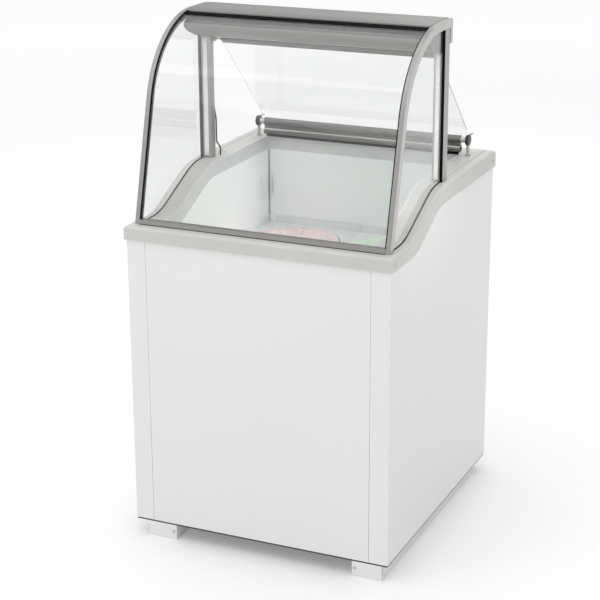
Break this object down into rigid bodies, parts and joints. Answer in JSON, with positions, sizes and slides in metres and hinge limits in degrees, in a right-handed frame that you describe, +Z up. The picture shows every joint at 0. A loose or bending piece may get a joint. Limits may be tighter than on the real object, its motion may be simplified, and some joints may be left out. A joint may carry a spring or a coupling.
{
  "type": "ice cream dipping cabinet",
  "caption": "White tub cabinet for scooping ice cream, with a curved glass canopy, a hinged rear cover, a lamp hood and a condensing unit in its base.",
  "frame": {"origin": "on the floor, under the centre of the cabinet's bounding box", "axes": "+X to the customer's right, +Y from the customer's side to the server's side, +Z up"},
  "size_m": [0.6724, 0.718, 1.247],
  "materials": {
    "white_paint": "semi-gloss powder coat",
    "rim_plastic": "fine-grained moulding",
    "collar_plastic": "satin moulding",
    "liner_white": "satin pre-painted sheet",
    "skirt_white": "satin pre-painted sheet",
    "aluminium": "satin anodised",
    "hood_grey": "satin grey paint",
    "black_rubber": "matt",
    "black_plastic": "matt",
    "glass": "clear polished",
    "acrylic": "clear polished sheet",
    "lens": "opal diffuser",
    "galvanised": "galvanised",
    "copper": "bare copper",
    "foam": "closed-cell foam",
    "black_enamel": "black enamel",
    "steel": "bright plated steel",
    "carton": "waxed board",
    "ice_pink": "soft, slightly rough",
    "ice_green": "soft, slightly rough",
    "ice_vanilla": "soft, slightly rough",
    "ice_chocolate": "soft, slightly rough"
  },
  "bodies": {
    "cabinet": {"base_pan": "black_enamel", "breaker_collar": "collar_plastic", "compressor": "black_enamel", "compressor_grommets": "black_rubber", "condenser": "black_enamel", "control_box": "black_plastic", "cord_gland": "black_plastic", "cover_rod": "steel", "cover_stops": "aluminium", "evaporator_coil": "copper", "fan_motor": "black_enamel", "fan_shroud": "galvanised", "filter_drier": "copper", "front_glass": "glass", "front_panel": "white_paint", "glass_channel": "aluminium", "glass_gaskets": "black_rubber", "hood": "hood_grey", "insulation": "foam", "lamp_cable": "black_plastic", "lamp_housing": "hood_grey", "lamp_lens": "lens", "lamp_strip": "white_paint", "liner": "liner_white", "panel_screws": "steel", "post_left": "aluminium", "post_right": "aluminium", "rear_grille": "white_paint", "rear_panel": "white_paint", "refrigerant_lines": "copper", "rim_front": "rim_plastic", "rim_left": "rim_plastic", "rim_rear": "rim_plastic", "rim_right": "rim_plastic", "side_frame_left": "aluminium", "side_frame_right": "aluminium", "side_glass_left": "glass", "side_glass_right": "glass", "side_panel_left": "white_paint", "side_panel_right": "white_paint", "skid_left": "white_paint", "skid_right": "white_paint"},
    "condenser_fan": {"condenser_fan": "aluminium"},
    "thermostat_knob": {"thermostat_knob": "black_plastic"},
    "lamp_switch": {"lamp_switch": "black_plastic"},
    "rear_cover": {"rear_cover": "acrylic", "cover_top_rail": "aluminium", "cover_handle": "aluminium"},
    "cover_latch_left": {"cover_latch_left": "black_plastic"},
    "cover_latch_right": {"cover_latch_right": "black_plastic"},
    "tub_skirt_left": {"tub_skirt_left": "skirt_white"},
    "tub_skirt_right": {"tub_skirt_right": "skirt_white"},
    "tub_rear_left": {"tub_rear_left": "carton", "ice_cream_rear_left": "ice_pink"},
    "tub_rear_right": {"tub_rear_right": "carton", "ice_cream_rear_right": "ice_green"},
    "tub_front_left": {"tub_front_left": "carton", "ice_cream_front_left": "ice_vanilla"},
    "tub_front_right": {"tub_front_right": "carton", "ice_cream_front_right": "ice_chocolate"}
  },
  "joints": [
    {"name": "condenser_fan_spin", "type": "hinge", "parent": "cabinet", "child": "condenser_fan", "pos_m": [0.14, 0.25, 0.141], "axis": [0, 1, 0], "continuous": true},
    {"name": "thermostat_turn", "type": "hinge", "parent": "cabinet", "child": "thermostat_knob", "pos_m": [0.158, 0.345, 0.284], "axis": [0, 1, 0], "range_deg": [0, 300]},
    {"name": "lamp_switch_rock", "type": "hinge", "parent": "cabinet", "child": "lamp_switch", "pos_m": [0.226, 0.336, 0.284], "axis": [1, 0, 0], "range_deg": [0, 16]},
    {"name": "rear_cover_swing", "type": "hinge", "parent": "cabinet", "child": "rear_cover", "pos_m": [0, 0.06, 1.158], "axis": [1, 0, 0], "range_deg": [0, 138]},
    {"name": "cover_latch_left_turn", "type": "hinge", "parent": "rear_cover", "child": "cover_latch_left", "pos_m": [-0.2865, 0.279, 0.908], "axis": [1, 0, 0], "range_deg": [0, 90]},
    {"name": "cover_latch_right_turn", "type": "hinge", "parent": "rear_cover", "child": "cover_latch_right", "pos_m": [0.2865, 0.279, 0.908], "axis": [1, 0, 0], "range_deg": [0, 90]},
    {"name": "tub_rear_left_lift", "type": "slide", "parent": "cabinet", "child": "tub_rear_left", "axis": [0, 0, 1], "range_m": [0, 0.25]},
    {"name": "tub_rear_right_lift", "type": "slide", "parent": "cabinet", "child": "tub_rear_right", "axis": [0, 0, 1], "range_m": [0, 0.25]},
    {"name": "tub_front_left_lift", "type": "slide", "parent": "cabinet", "child": "tub_front_left", "axis": [0, 0, 1], "range_m": [0, 0.25]},
    {"name": "tub_front_right_lift", "type": "slide", "parent": "cabinet", "child": "tub_front_right", "axis": [0, 0, 1], "range_m": [0, 0.25]},
    {"name": "tub_skirt_left_lift", "type": "slide", "parent": "cabinet", "child": "tub_skirt_left", "axis": [0, 0, 1], "range_m": [0, 0.2]},
    {"name": "tub_skirt_right_lift", "type": "slide", "parent": "cabinet", "child": "tub_skirt_right", "axis": [0, 0, 1], "range_m": [0, 0.2]}
  ]
}
